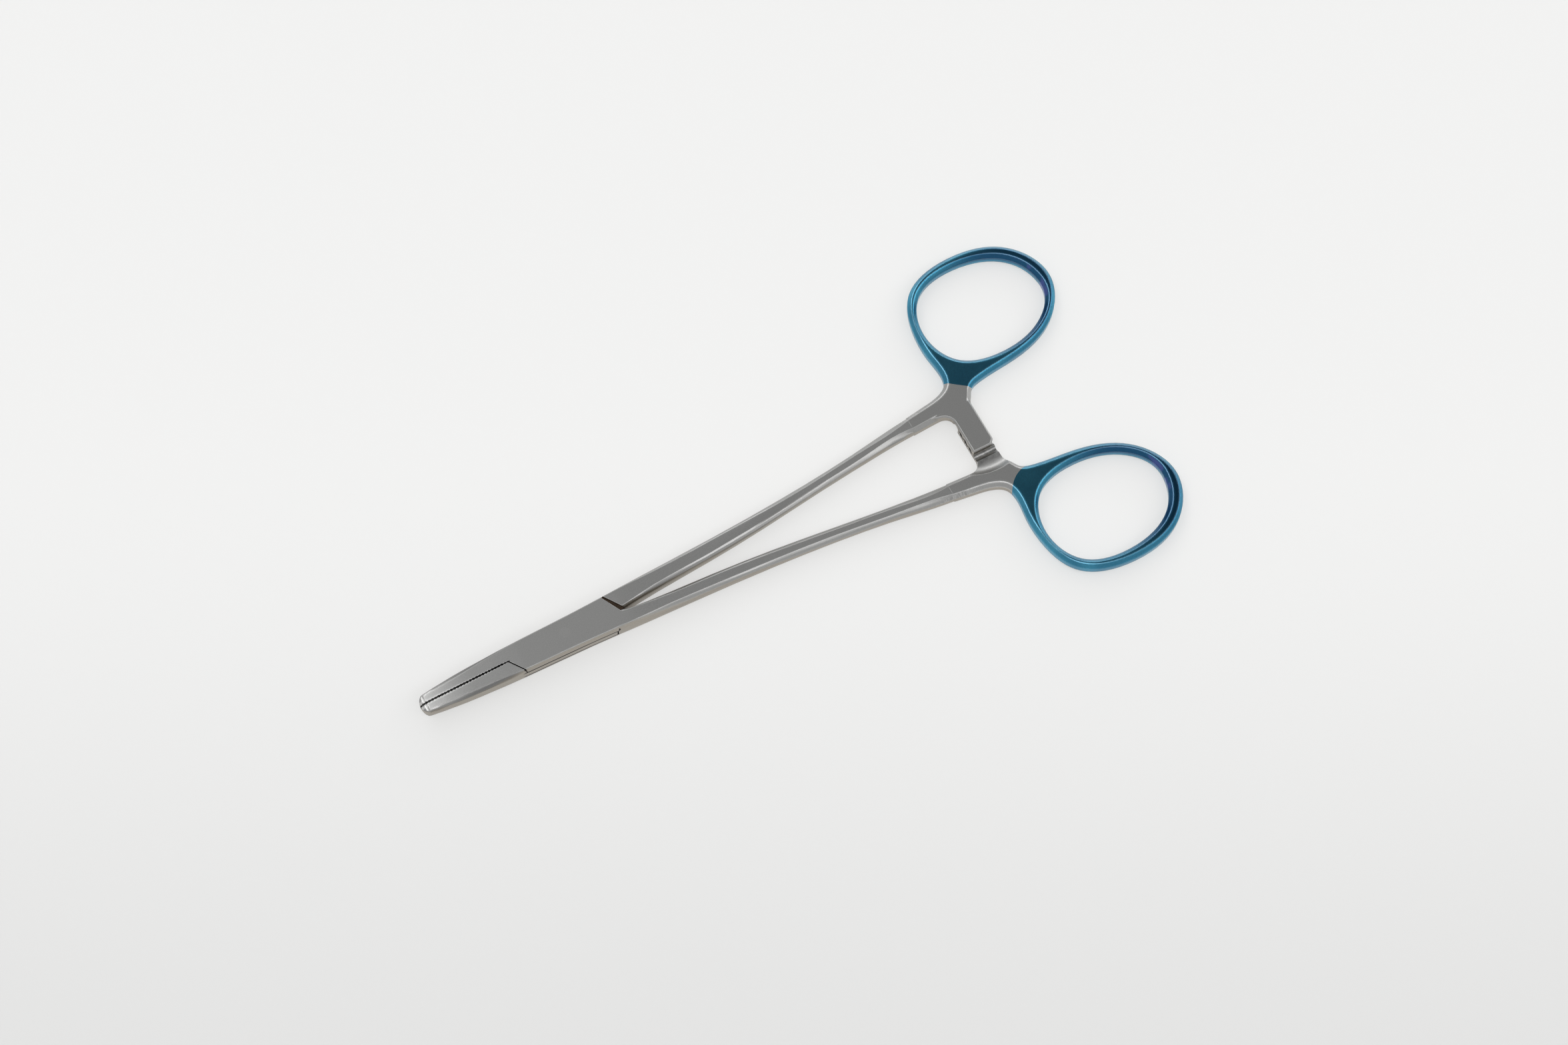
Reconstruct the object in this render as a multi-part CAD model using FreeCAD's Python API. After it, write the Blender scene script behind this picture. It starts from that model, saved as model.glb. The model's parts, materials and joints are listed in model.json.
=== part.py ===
import FreeCAD, Part
import math
import os
from collections import namedtuple

# Surgical needle holder with a box lock, a ratchet and two finger rings, in millimetres.
# X runs along the instrument from the jaws to the rings, Y across it and Z up.
# The origin is on the underside of the box, below the centre line and level with the pivot.
# The box half has one jaw and the slotted box. The tongue half passes through that slot.
# A flush pin joins the two, and both handles come from one forged shape, turned over.

Vector = FreeCAD.Vector
Station = namedtuple("Station", "x inner outer height side")
Side = namedtuple("Side", "bevel drop crown depth")

# Jaws
JAW_REACH = 32.4
JAW_ROOT = 12.7
TIP_HALF_WIDTH = 2.25
TIP_HEIGHT = 2.4
TIP_NOSE = 2.0
TIP_ROLL = 1.3
JAW_GAP = 0.18
SERRATION_PITCH = 0.7
SERRATION_DEPTH = 0.2
SERRATION_START = 1.2

# Box lock
BOX_HALF_WIDTH = 3.66
BOX_HEIGHT = 4.2
TOP_PLATE = 1.4
TONGUE_HEIGHT = 1.5
LOCK_CLEARANCE = 0.06
SHOULDER_GAP = 0.16
SHOULDER_ANGLE = 35.5
PLATE_END_X = 12.05
PLATE_CORNER_Y = 0.6
PLATE_END_ANGLE = 28.0
CROTCH_GAP = 0.95
CROTCH_Y = -0.25
CROTCH_WEDGE = 6.5
LAND_HEIGHT = 2.7
SLOT_END_X = 10.1
SLOT_END_ANGLE = 33.0
SLIT_WIDTH = 0.16
SLIT_DEPTH = 0.5
SLIT_TOP = 3.6
PIN_DIAMETER = 2.3
PIN_OFFSET = 0.3
PIN_CLEARANCE = 0.03

# Shanks
SHANK_START_X = 10.0
WAIST_X = 60.0
WAIST_WIDTH = 2.92
WAIST_CENTRE = 5.78
WAIST_HEIGHT = 2.5
SHANK_END_X = 84.0
SHANK_END_WIDTH = 3.75
SHANK_END_CENTRE = 8.52
SEAM_INSET = 0.015

# Handles
HANDLE_HEIGHT = 3.0
HANDLE_BEVEL = 0.85
RING_CENTRE_X = 110.7
RING_CENTRE_Y = 25.7
RING_HOLE_LENGTH = 27.7
RING_HOLE_WIDTH = 22.2
RING_WALL = 2.45

# Ratchet
ARM_CENTRE_X = 94.95
ARM_WIDTH = 5.1
ARM_END = 3.25
ARM_BEVEL = 0.3
ARM_TIP_CUT = 1.0
ARM_ROOT_RISE = 0.3
ARM_CORNER_RADIUS = 2.6
RATCHET_CLEARANCE = 0.1
TOOTH_START = 1.59
TOOTH_PITCH = 1.9
TOOTH_DEPTH = 0.6
TOOTH_LAND = 0.3
TOOTH_COUNT = 4
MILL_RADIUS = 14.0
MILL_CORNER = 4.2
MILL_SHIFT = 8.95

MIDDLE = BOX_HEIGHT / 2
SLOT_ROOF = BOX_HEIGHT - TOP_PLATE
SLOT_FLOOR = SLOT_ROOF - TONGUE_HEIGHT - 2 * LOCK_CLEARANCE
PIN_RADIUS = PIN_DIAMETER / 2
PIN_AXIS = Vector(0, PIN_OFFSET, 0)
UP = Vector(0, 0, 1)
LAND_LOW = MIDDLE - LAND_HEIGHT / 2
LAND_TOP = MIDDLE + LAND_HEIGHT / 2
SHANK_END_IN = SHANK_END_CENTRE - SHANK_END_WIDTH / 2
SHANK_END_OUT = SHANK_END_CENTRE + SHANK_END_WIDTH / 2
ARM_LEFT = ARM_CENTRE_X - ARM_WIDTH / 2
ARM_RIGHT = ARM_CENTRE_X + ARM_WIDTH / 2
ARM_ROOT_Y = SHANK_END_IN + ARM_ROOT_RISE
JAW_FACE = JAW_GAP / 2
BOX_SIDE = Side(0.15, 0.12, 0.27, 1.2)
HANDLE_SIDE = Side(0.34 * HANDLE_BEVEL, 0.34 * HANDLE_BEVEL, 0.66 * HANDLE_BEVEL, 1.33 * HANDLE_BEVEL)
WIDE = 60.0
ASIDE = 6.0


def line(start, end):
    return Part.LineSegment(start, end).toShape()


def rounded_corner(corner, towards_first, towards_second, radius):
    """A quarter arc inside the corner, from the first side to the second."""
    middle = corner + (towards_first + towards_second) * radius * (1 - math.sqrt(0.5))
    return Part.Arc(corner + towards_first * radius, middle, corner + towards_second * radius).toShape()


def side_points(side):
    """The side of a section from its top flat down: how far in and how far down each point lies."""
    return [
        (side.crown + side.bevel, 0.0),
        (side.crown, side.drop),
        (0.35 * side.crown, side.drop + 0.43 * (side.depth - side.drop)),
        (0.0, side.depth),
    ]


def section_wire(station, hand):
    """The outline across a bar: flats above and below, bevelled edges and crowned sides."""
    low = MIDDLE - station.height / 2
    high = MIDDLE + station.height / 2
    shape = side_points(station.side)
    outline = [(station.outer - inset, high - down) for inset, down in shape]
    outline += [(station.outer - inset, low + down) for inset, down in reversed(shape)]
    outline += [(station.inner + inset, low + down) for inset, down in shape]
    outline += [(station.inner + inset, high - down) for inset, down in reversed(shape)]
    corners = [Vector(station.x, hand * y, z) for y, z in outline]
    return Part.makePolygon(corners + corners[:1])


def bar(stations, hand):
    """A forged bar, lofted through its stations, on the side +1 or -1 of the centre line."""
    return Part.makeLoft([section_wire(station, hand) for station in stations], True, False)


def prism(points, low=-WIDE, high=WIDE):
    """An upright prism over a plan outline given as (x, y) points."""
    corners = [Vector(x, y, low) for x, y in points]
    return Part.Face(Part.makePolygon(corners + corners[:1])).extrude(Vector(0, 0, high - low))


def along(start, degrees, y):
    """The point at height y of the plan line that leaves start, tilted from the Y axis."""
    return (start[0] + (y - start[1]) * math.tan(math.radians(degrees)), y)


def head_stations():
    """Sections across the closed jaws and box, from beyond the tip to behind the box."""
    taper = BOX_HALF_WIDTH - TIP_HALF_WIDTH
    drop = BOX_HEIGHT - TIP_HEIGHT
    jaw_side = Side(0.45, 0.22, 0.4, 0.75)
    rows = [
        (-JAW_REACH - 0.6, -1.21 * taper, 1.05 * drop, jaw_side),
        (-25.0, -0.63 * taper, 0.45 * drop, jaw_side),
        (-18.0, -0.34 * taper, 0.17 * drop, Side(0.3, 0.2, 0.35, 0.9)),
        (-10.0, -0.14 * taper, 0.0, BOX_SIDE),
        (-4.0, -0.05 * taper, 0.0, BOX_SIDE),
        (4.0, 0.08 * taper, 0.0, BOX_SIDE),
        (SHANK_START_X, 0.25 * taper, 0.0, BOX_SIDE),
        (SHANK_START_X + 4.0, 0.38 * taper, 0.0, BOX_SIDE),
    ]
    return [Station(x, -BOX_HALF_WIDTH - wider, BOX_HALF_WIDTH + wider, BOX_HEIGHT - lower, side)
            for x, wider, lower, side in rows]


def shank_stations(crotch):
    """Sections of a shank, from the box to the handle. crotch has its first four inner edges."""
    waist_in = WAIST_CENTRE - WAIST_WIDTH / 2
    waist_out = WAIST_CENTRE + WAIST_WIDTH / 2
    back_of_box = BOX_HALF_WIDTH + 0.25 * (BOX_HALF_WIDTH - TIP_HALF_WIDTH)
    thick = BOX_HEIGHT
    thin = WAIST_HEIGHT
    shank_side = Side(0.35, 0.2, 0.55, 0.9)
    return [
        Station(SHANK_START_X, crotch[0], back_of_box - SEAM_INSET, thick - 2 * SEAM_INSET, BOX_SIDE),
        Station(13.0, crotch[1], back_of_box + 0.16, thick - 2 * SEAM_INSET, BOX_SIDE),
        Station(20.0, crotch[2], back_of_box + 0.6,
                thick - (thick - thin) * 0.18, Side(0.3, 0.2, 0.45, 1.2)),
        Station(31.0, crotch[3], back_of_box + 1.17,
                thick - (thick - thin) * 0.55, Side(0.35, 0.2, 0.55, 1.1)),
        Station(45.0, (crotch[3] + waist_in) / 2 - 0.3, (back_of_box + waist_out) / 2 + 0.34,
                thick - (thick - thin) * 0.88, shank_side),
        Station(WAIST_X, waist_in, waist_out, thin, shank_side),
        Station((WAIST_X + SHANK_END_X) / 2, (waist_in + SHANK_END_IN) / 2 + 0.22,
                (waist_out + SHANK_END_OUT) / 2 - 0.14, (thin + HANDLE_HEIGHT) / 2 - 0.1, shank_side),
        Station(SHANK_END_X, SHANK_END_IN + SEAM_INSET, SHANK_END_OUT - SEAM_INSET,
                HANDLE_HEIGHT - 2 * SEAM_INSET, HANDLE_SIDE),
    ]


def jaw_line(side):
    """The zigzag of one jaw's serrations in plan, from beyond the tip to the jaw's root."""
    face = side * JAW_FACE
    valley = side * (JAW_FACE + SERRATION_DEPTH)
    count = int((JAW_REACH - JAW_ROOT - SERRATION_START) / SERRATION_PITCH)
    points = [(-WIDE, face)]
    for index in range(count, 0, -1):
        start = -JAW_ROOT - SERRATION_START - index * SERRATION_PITCH
        points.append((start, face))
        points.append((start + SERRATION_PITCH / 2, valley))
    points.append((-JAW_ROOT - SERRATION_START, face))
    points.append((-JAW_ROOT, face))
    return points


def nose():
    """Everything behind the rounded tip: an oval end in plan and another from the side."""
    plan_centre = Vector(-JAW_REACH + TIP_NOSE, 0, -WIDE)
    plan_side = TIP_HALF_WIDTH
    plan_curve = Part.Arc(plan_centre + Vector(0, -plan_side, 0), plan_centre + Vector(-TIP_NOSE, 0, 0),
                          plan_centre + Vector(0, plan_side, 0)).toShape()
    plan_box = [plan_centre + Vector(0, plan_side, 0), plan_centre + Vector(0, WIDE, 0),
                plan_centre + Vector(3 * WIDE, WIDE, 0), plan_centre + Vector(3 * WIDE, -WIDE, 0),
                plan_centre + Vector(0, -WIDE, 0), plan_centre + Vector(0, -plan_side, 0)]
    plan = Part.Face(Part.Wire([plan_curve] + Part.makePolygon(plan_box).Edges))
    half = TIP_HEIGHT / 2
    side_centre = Vector(-JAW_REACH + TIP_ROLL, -WIDE, MIDDLE)
    side_curve = Part.Arc(side_centre + Vector(0, 0, -half), side_centre + Vector(-TIP_ROLL, 0, 0),
                          side_centre + Vector(0, 0, half)).toShape()
    side_box = [side_centre + Vector(0, 0, half), side_centre + Vector(0, 0, WIDE),
                side_centre + Vector(3 * WIDE, 0, WIDE), side_centre + Vector(3 * WIDE, 0, -WIDE),
                side_centre + Vector(0, 0, -WIDE), side_centre + Vector(0, 0, -half)]
    from_side = Part.Face(Part.Wire([side_curve] + Part.makePolygon(side_box).Edges))
    return plan.extrude(Vector(0, 0, 2 * WIDE)).common(from_side.extrude(Vector(0, 2 * WIDE, 0)))


def ring_points(half_length, half_width, shape):
    """Points round a finger ring, placed by their shares of its half length and half width."""
    return [Vector(RING_CENTRE_X + half_length * x, RING_CENTRE_Y + half_width * y, 0) for x, y in shape]


def blank(outline, hole=None):
    """A plan outline of the handle, raised to the handle's full height. Its wires lie at height 0."""
    face = Part.Face([wire for wire in (outline, hole) if wire])
    face.validate()
    raised = face.extrude(Vector(0, 0, HANDLE_HEIGHT))
    raised.translate(Vector(0, 0, MIDDLE - HANDLE_HEIGHT / 2))
    return raised


def arm_edges(top):
    """The plan edges down the ratchet arm's right side from top, round its end and up into the crotch."""
    radius = ARM_CORNER_RADIUS
    right = Vector(ARM_RIGHT, -ARM_END + ARM_TIP_CUT, 0)
    cut = Vector(ARM_RIGHT - ARM_TIP_CUT, -ARM_END, 0)
    left = Vector(ARM_LEFT, -ARM_END, 0)
    corner = Vector(ARM_LEFT, ARM_ROOT_Y, 0)
    root = corner - Vector(0, radius, 0)
    return [line(top, right), line(right, cut), line(cut, left), line(left, root),
            rounded_corner(corner, Vector(0, -1, 0), Vector(-1, 0, 0), radius)]


def handle():
    """The forged handle of the upper half beyond the shank: neck, finger ring and ratchet arm."""
    hole_shape = [(1.0, 0.0), (0.705, 0.7), (-0.08, 1.0), (-0.74, 0.765),
                  (-1.0, 0.02), (-0.74, -0.77), (-0.1, -1.0), (0.69, -0.72)]
    hole_curve = Part.BSplineCurve()
    hole_side = ring_points(RING_HOLE_LENGTH / 2, RING_HOLE_WIDTH / 2, hole_shape)
    hole_curve.interpolate(hole_side, PeriodicFlag=True)
    ring_shape = [(-0.985, -0.915), (-0.945, -0.775), (-0.966, -0.406), (-0.965, 0.03), (-0.76, 0.695),
                  (0.0, 1.0), (0.735, 0.72), (1.02, 0.03), (0.7, -0.68), (0.0, -1.0),
                  (-0.54, -1.081), (-0.693, -1.162)]
    ring_side = ring_points(RING_HOLE_LENGTH / 2 + RING_WALL, RING_HOLE_WIDTH / 2 + RING_WALL, ring_shape)
    start = Vector(SHANK_END_X, SHANK_END_OUT, 0)
    reach = RING_CENTRE_X - SHANK_END_X
    rise = RING_CENTRE_Y - SHANK_END_CENTRE
    neck_left = [start + Vector(0.15 * reach, 0.034 * rise, 0),
                 start + Vector(0.318 * reach, 0.086 * rise, 0)]
    neck_right = [Vector(ARM_RIGHT + 0.18 * ARM_WIDTH, SHANK_END_IN + 0.35 * ARM_WIDTH, 0),
                  Vector(ARM_RIGHT, SHANK_END_IN - 0.265 * ARM_WIDTH, 0)]
    outer_curve = Part.BSplineCurve()
    outer_curve.interpolate([start] + neck_left + ring_side + neck_right,
                            InitialTangent=neck_left[0] - start, FinalTangent=Vector(0, -1, 0))
    shank_corner = Vector(SHANK_END_X, SHANK_END_IN, 0)
    crotch = Vector(ARM_LEFT - ARM_CORNER_RADIUS, ARM_ROOT_Y, 0)
    outline = Part.Wire([outer_curve.toShape()] + arm_edges(neck_right[-1])
                        + [line(crotch, shank_corner), line(shank_corner, start)])
    return blank(outline, Part.Wire([hole_curve.toShape()]))


def arm():
    """The ratchet arm again, sharper at its edges, which rises out of the neck's wider bevel."""
    top = Vector(ARM_RIGHT, ARM_ROOT_Y + ARM_WIDTH / 5, 0)
    crotch = Vector(ARM_LEFT - ARM_CORNER_RADIUS, ARM_ROOT_Y, 0)
    inside = crotch + Vector(-ARM_WIDTH / 2, HANDLE_BEVEL, 0)
    return blank(Part.Wire(arm_edges(top) + [line(crotch, inside), line(inside, top)]))


def turned_over(shape):
    """The shape turned half a turn about the long axis at mid height."""
    shape.rotate(Vector(0, 0, MIDDLE), Vector(1, 0, 0), 180)
    return shape


def bevelled(shape, size):
    """The shape with all its level edges bevelled, but for those where the shank joins it."""
    free = [edge for edge in shape.Edges if edge.BoundBox.XMax > SHANK_END_X + SEAM_INSET]
    level = [edge for edge in free if edge.BoundBox.ZLength < SEAM_INSET]
    return shape.makeChamfer(size, level)


def ratchet_cutter():
    """What is milled away under the upper arm: a wide disc with a rounded rim, less the teeth it leaves."""
    level = MIDDLE + RATCHET_CLEARANCE / 2
    flat = MILL_RADIUS - math.sqrt(MILL_CORNER ** 2 - (MILL_CORNER - HANDLE_HEIGHT / 2) ** 2)
    centre = Vector(ARM_CENTRE_X + 0.4, MILL_SHIFT - MILL_RADIUS, 0)
    top = centre + Vector(0, 0, level)
    rim = Part.Arc(
        top + Vector(flat, 0, 0),
        top + Vector(flat + MILL_CORNER * math.sqrt(0.5), 0, MILL_CORNER * (math.sqrt(0.5) - 1)),
        top + Vector(flat + MILL_CORNER, 0, -MILL_CORNER)).toShape()
    base = centre + Vector(0, 0, level - MILL_CORNER)
    profile = Part.Wire([line(base, top), line(top, top + Vector(flat, 0, 0)), rim,
                         line(base + Vector(flat + MILL_CORNER, 0, 0), base)])
    return Part.Face(profile).revolve(centre, UP, 360)


def tooth_cutters():
    """Round-bottomed valleys across the underside of the upper arm, the same distance apart."""
    chord = TOOTH_PITCH - TOOTH_LAND
    radius = (chord ** 2 / 4 + TOOTH_DEPTH ** 2) / (2 * TOOTH_DEPTH)
    level = MIDDLE + RATCHET_CLEARANCE / 2 + TOOTH_DEPTH - radius
    first = -ARM_END + TOOTH_START
    starts = [Vector(ARM_CENTRE_X - ARM_WIDTH, first + index * TOOTH_PITCH, level)
              for index in range(TOOTH_COUNT)]
    return [Part.makeCylinder(radius, 2 * ARM_WIDTH, start, Vector(1, 0, 0)) for start in starts]


def finished_handle():
    """The bevelled handle with the underside of its arm milled and toothed."""
    forged = bevelled(handle(), HANDLE_BEVEL).fuse(bevelled(arm(), ARM_BEVEL)).removeSplitter()
    return forged.cut(ratchet_cutter()).cut(tooth_cutters())


def slot_plan(gap):
    """The plan of the slot through the box, or of the tongue in it when gap is its play at each end."""
    shift = gap / math.cos(math.radians(SLOT_END_ANGLE))
    side = (SLOT_END_X - shift, -BOX_HALF_WIDTH)
    rear = [along(side, SLOT_END_ANGLE, -ASIDE), along(side, SLOT_END_ANGLE, CROTCH_Y)]
    front_side = (-side[0], BOX_HALF_WIDTH)
    front = [along(front_side, SLOT_END_ANGLE, ASIDE),
             along(front_side, SLOT_END_ANGLE, -JAW_FACE + gap / 2)]
    return rear, front


def box_plan():
    """The plan of the box half's jaw and of the box plates."""
    root = (-JAW_ROOT, 0.0)
    plate = (PLATE_END_X, -PLATE_CORNER_Y)
    return jaw_line(1) + [along(root, -SHOULDER_ANGLE, -ASIDE), (SHANK_START_X, -ASIDE),
                          (SHANK_START_X, -PLATE_CORNER_Y), plate,
                          along(plate, -PLATE_END_ANGLE, ASIDE), (-WIDE, ASIDE)]


def slot_slit():
    """The thin hooked slit that the closed slot leaves in the box's near side, above its rear end."""
    belly = (SLOT_ROOF + SLIT_TOP) / 2 - SLIT_WIDTH
    outline = [(SLOT_END_X - SLIT_WIDTH, SLOT_ROOF - SLIT_WIDTH), (SLOT_END_X + SLIT_WIDTH, belly),
               (SLOT_END_X, SLIT_TOP), (SLOT_END_X + SLIT_WIDTH, SLIT_TOP),
               (SLOT_END_X + 2 * SLIT_WIDTH, belly), (SLOT_END_X, SLOT_ROOF - 2 * SLIT_WIDTH)]
    corners = [Vector(x, -ASIDE, z) for x, z in outline]
    depth = ASIDE - BOX_HALF_WIDTH + SLIT_DEPTH
    return Part.Face(Part.makePolygon(corners + corners[:1])).extrude(Vector(0, depth, 0))


def make_box_half(head):
    """The half with the slotted box, which holds the pin."""
    shank = bar(shank_stations((0.3, 0.66, 1.16, 1.66)), -1)
    beside_plate = [(0, -PLATE_CORNER_Y), (WIDE, -PLATE_CORNER_Y), (2 * WIDE, -PLATE_CORNER_Y),
                    (2 * WIDE, -3 * ASIDE), (0, -3 * ASIDE)]
    solid = head.common(prism(box_plan())).fuse(shank.common(prism(beside_plate)))
    rear, front = slot_plan(0.0)
    beyond = PLATE_END_X + CROTCH_GAP
    plan = [rear[0], rear[1], (beyond, CROTCH_Y), (beyond, ASIDE),
            front[0], front[1], (-JAW_ROOT - SHOULDER_GAP, -JAW_FACE), (-JAW_ROOT, -ASIDE)]
    solid = solid.cut(prism(plan, SLOT_FLOOR, SLOT_ROOF)).common(nose())
    solid = solid.cut(Part.makeCylinder(PIN_RADIUS, BOX_HEIGHT, PIN_AXIS, UP)).cut(slot_slit())
    return solid.fuse(turned_over(finished_handle()))


def make_tongue_half(head):
    """The half that passes through the box and turns on the pin."""
    gap = SHOULDER_GAP / math.cos(math.radians(SHOULDER_ANGLE))
    root = (-JAW_ROOT - gap, 0.0)
    jaw_plan = jaw_line(-1)[:-1] + [along(root, -SHOULDER_ANGLE, -JAW_FACE),
                                    along(root, -SHOULDER_ANGLE, -ASIDE), (-WIDE, -ASIDE)]
    jaw = head.common(prism(jaw_plan)).common(nose())
    crotch = (PLATE_END_X + CROTCH_GAP, CROTCH_Y)
    shoulder = -PLATE_END_ANGLE - CROTCH_WEDGE
    shank_plan = [along(crotch, shoulder, ASIDE), along(crotch, shoulder, -ASIDE),
                  (2 * WIDE, -ASIDE), (2 * WIDE, 3 * ASIDE), (2 * ASIDE, 3 * ASIDE)]
    shank = bar(shank_stations((-0.62, -0.24, 0.44, 1.15)), 1).common(prism(shank_plan))
    rear, front = slot_plan(1.5 * SHOULDER_GAP)
    tongue_plan = [rear[0], rear[1], crotch, along(crotch, shoulder, ASIDE), front[0], front[1],
                   along(root, -SHOULDER_ANGLE, -JAW_FACE), along(root, -SHOULDER_ANGLE, -ASIDE)]
    tongue = head.common(prism(tongue_plan, SLOT_FLOOR + LOCK_CLEARANCE, SLOT_ROOF - LOCK_CLEARANCE))
    land_root = (PLATE_END_X + SHOULDER_GAP / math.cos(math.radians(PLATE_END_ANGLE)), -PLATE_CORNER_Y)
    land_plan = [along(land_root, -PLATE_END_ANGLE, CROTCH_Y), crotch,
                 along(crotch, shoulder, ASIDE), along(land_root, -PLATE_END_ANGLE, ASIDE)]
    tongue = tongue.fuse(head.common(prism(land_plan, LAND_LOW, LAND_TOP)))
    hole = Part.makeCylinder(PIN_RADIUS + PIN_CLEARANCE, BOX_HEIGHT, PIN_AXIS, UP)
    return tongue.cut(hole).fuse([jaw, shank]).fuse(finished_handle())


def main():
    """Builds the three pieces and writes one file for each."""
    os.makedirs("parts", exist_ok=True)
    head = bar(head_stations(), 1)
    pieces = {
        "box_half": make_box_half(head),
        "tongue_half": make_tongue_half(head),
        "pivot_pin": Part.makeCylinder(PIN_RADIUS, BOX_HEIGHT, PIN_AXIS, UP),
    }
    for name, shape in pieces.items():
        print(name, len(shape.Solids), shape.isValid(), round(shape.Volume, 2), len(shape.Faces))
        shape.exportStep("parts/" + name + ".step")


main()
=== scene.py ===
"""Looks of a surgical needle holder: satin steel halves with blue coated finger rings."""

import json
import logging
import math
from dataclasses import dataclass
from enum import Enum

import bmesh
import bpy
from mathutils import Matrix, Vector

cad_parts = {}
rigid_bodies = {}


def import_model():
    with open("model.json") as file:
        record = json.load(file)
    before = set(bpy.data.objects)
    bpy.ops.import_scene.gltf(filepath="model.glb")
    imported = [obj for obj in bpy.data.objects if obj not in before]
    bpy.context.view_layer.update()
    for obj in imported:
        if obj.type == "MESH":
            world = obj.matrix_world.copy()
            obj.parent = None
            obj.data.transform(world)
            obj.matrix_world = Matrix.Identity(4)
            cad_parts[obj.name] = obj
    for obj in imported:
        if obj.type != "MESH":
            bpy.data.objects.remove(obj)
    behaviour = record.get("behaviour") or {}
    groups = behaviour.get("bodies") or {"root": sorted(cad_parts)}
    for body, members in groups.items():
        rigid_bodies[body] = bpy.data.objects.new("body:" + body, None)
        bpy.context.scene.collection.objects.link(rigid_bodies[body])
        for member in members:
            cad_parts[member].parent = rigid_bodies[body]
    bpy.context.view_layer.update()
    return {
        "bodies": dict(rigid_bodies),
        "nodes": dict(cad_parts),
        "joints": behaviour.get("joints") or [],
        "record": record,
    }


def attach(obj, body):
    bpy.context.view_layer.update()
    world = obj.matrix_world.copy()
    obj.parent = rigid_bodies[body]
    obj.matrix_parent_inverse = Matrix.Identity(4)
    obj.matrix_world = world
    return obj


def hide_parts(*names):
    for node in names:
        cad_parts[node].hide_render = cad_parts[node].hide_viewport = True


LOG = logging.getLogger("needle_holder")
MM = 0.001

Colour = tuple[float, float, float]
Span = tuple[float, float]
PlanPoint = tuple[float, float]
Socket = bpy.types.NodeSocket

# Colour of the painted shade in the joint lines and gaps between the parts.
GAP_SHADE_COLOUR: Colour = (0.012, 0.011, 0.010)


class Hand(Enum):
    """The side of the centre line on which a half's handle lies."""

    UPPER = 1
    LOWER = -1


@dataclass(frozen=True)
class PhotoView:
    """Where the photograph was taken from, worked out from its perspective. Lengths are in millimetres.

    Args:
        frame_width: Width of the photograph in pixels.
        frame_height: Its height in pixels.
        focal_pixels: The lens's focal length in pixels.
        sensor_width: Width of the camera's sensor.
        elevation: How steeply the camera looks down, in degrees.
        heading: How far the instrument is turned on the table, in degrees.
        distance: From the camera to the middle plane at the centre of the photograph.
        pivot_pixel: Where the top of the pivot shows.
        pivot_side: The pivot's place across the instrument.
        box_height: Height of the box.
        front_edge: Where the instrument touches the table in front.
        ring_end: Where it touches the table at the rings.
        ring_underside: Height of the rings' underside over the box's.
    """

    frame_width: int = 2352
    frame_height: int = 1568
    focal_pixels: float = 5000.0
    sensor_width: float = 36.0
    elevation: float = 66.0
    heading: float = 28.17
    distance: float = 681.7
    pivot_pixel: tuple[float, float] = (847.0, 949.0)
    pivot_side: float = 0.3
    box_height: float = 4.2
    front_edge: float = 12.0
    ring_end: float = 125.0
    ring_underside: float = 0.6

    def seat(self) -> Matrix:
        """The turn from the table into the instrument's frame, by the slight lean at which it rests."""
        slope = math.atan2(self.ring_underside, self.ring_end - self.front_edge)
        edge = Vector((self.front_edge * MM, 0.0, 0.0))
        return Matrix.Translation(edge) @ Matrix.Rotation(-slope, 4, "Y") @ Matrix.Translation(-edge)

    def right(self) -> Vector:
        """The direction on the table that shows as right in the photograph."""
        turn = math.radians(self.heading)
        return Vector((math.cos(turn), -math.sin(turn), 0.0))

    def away(self) -> Vector:
        """The direction on the table that points away from the camera."""
        turn = math.radians(self.heading)
        return Vector((math.sin(turn), math.cos(turn), 0.0))

    def target(self) -> Vector:
        """The point of the middle plane at the centre of the photograph.

        Returns:
            The point in millimetres, worked out so that the top of the pivot shows at its pixel.
        """
        tilt = math.radians(self.elevation)
        over = self.box_height / 2
        across = (self.pivot_pixel[0] - self.frame_width / 2) / self.focal_pixels
        above = (self.frame_height / 2 - self.pivot_pixel[1]) / self.focal_pixels
        reach = self.distance - over * math.sin(tilt)
        back = (above * reach - over * math.cos(tilt)) / (math.sin(tilt) - above * math.cos(tilt))
        side = across * (back * math.cos(tilt) + reach)
        pivot = Vector((0.0, self.pivot_side, over))
        return pivot - side * self.right() - back * self.away()

    def place(self, right: float, away: float, up: float) -> Vector:
        """A point given from the centre of the photograph.

        Args:
            right: Distance to the right in millimetres.
            away: Distance away from the camera in millimetres.
            up: Height over the middle plane in millimetres.

        Returns:
            The point in metres.
        """
        return (self.target() + right * self.right() + away * self.away() + Vector((0.0, 0.0, up))) * MM

    def make_camera(self) -> bpy.types.Object:
        """Adds the camera and makes it the scene's own.

        Returns:
            The camera object.
        """
        tilt = math.radians(self.elevation)
        lens = bpy.data.cameras.new("photo_camera")
        lens.sensor_width = self.sensor_width
        lens.lens = self.focal_pixels * self.sensor_width / self.frame_width
        lens.clip_start = 0.01
        camera = bpy.data.objects.new("photo_camera", lens)
        spot = self.place(0.0, -self.distance * math.cos(tilt), self.distance * math.sin(tilt))
        towards = self.place(0.0, 0.0, 0.0) - spot
        turn = towards.to_track_quat("-Z", "Y").to_matrix().to_4x4()
        camera.matrix_world = self.seat() @ Matrix.Translation(spot) @ turn
        bpy.context.scene.collection.objects.link(camera)
        bpy.context.scene.camera = camera
        return camera


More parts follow.
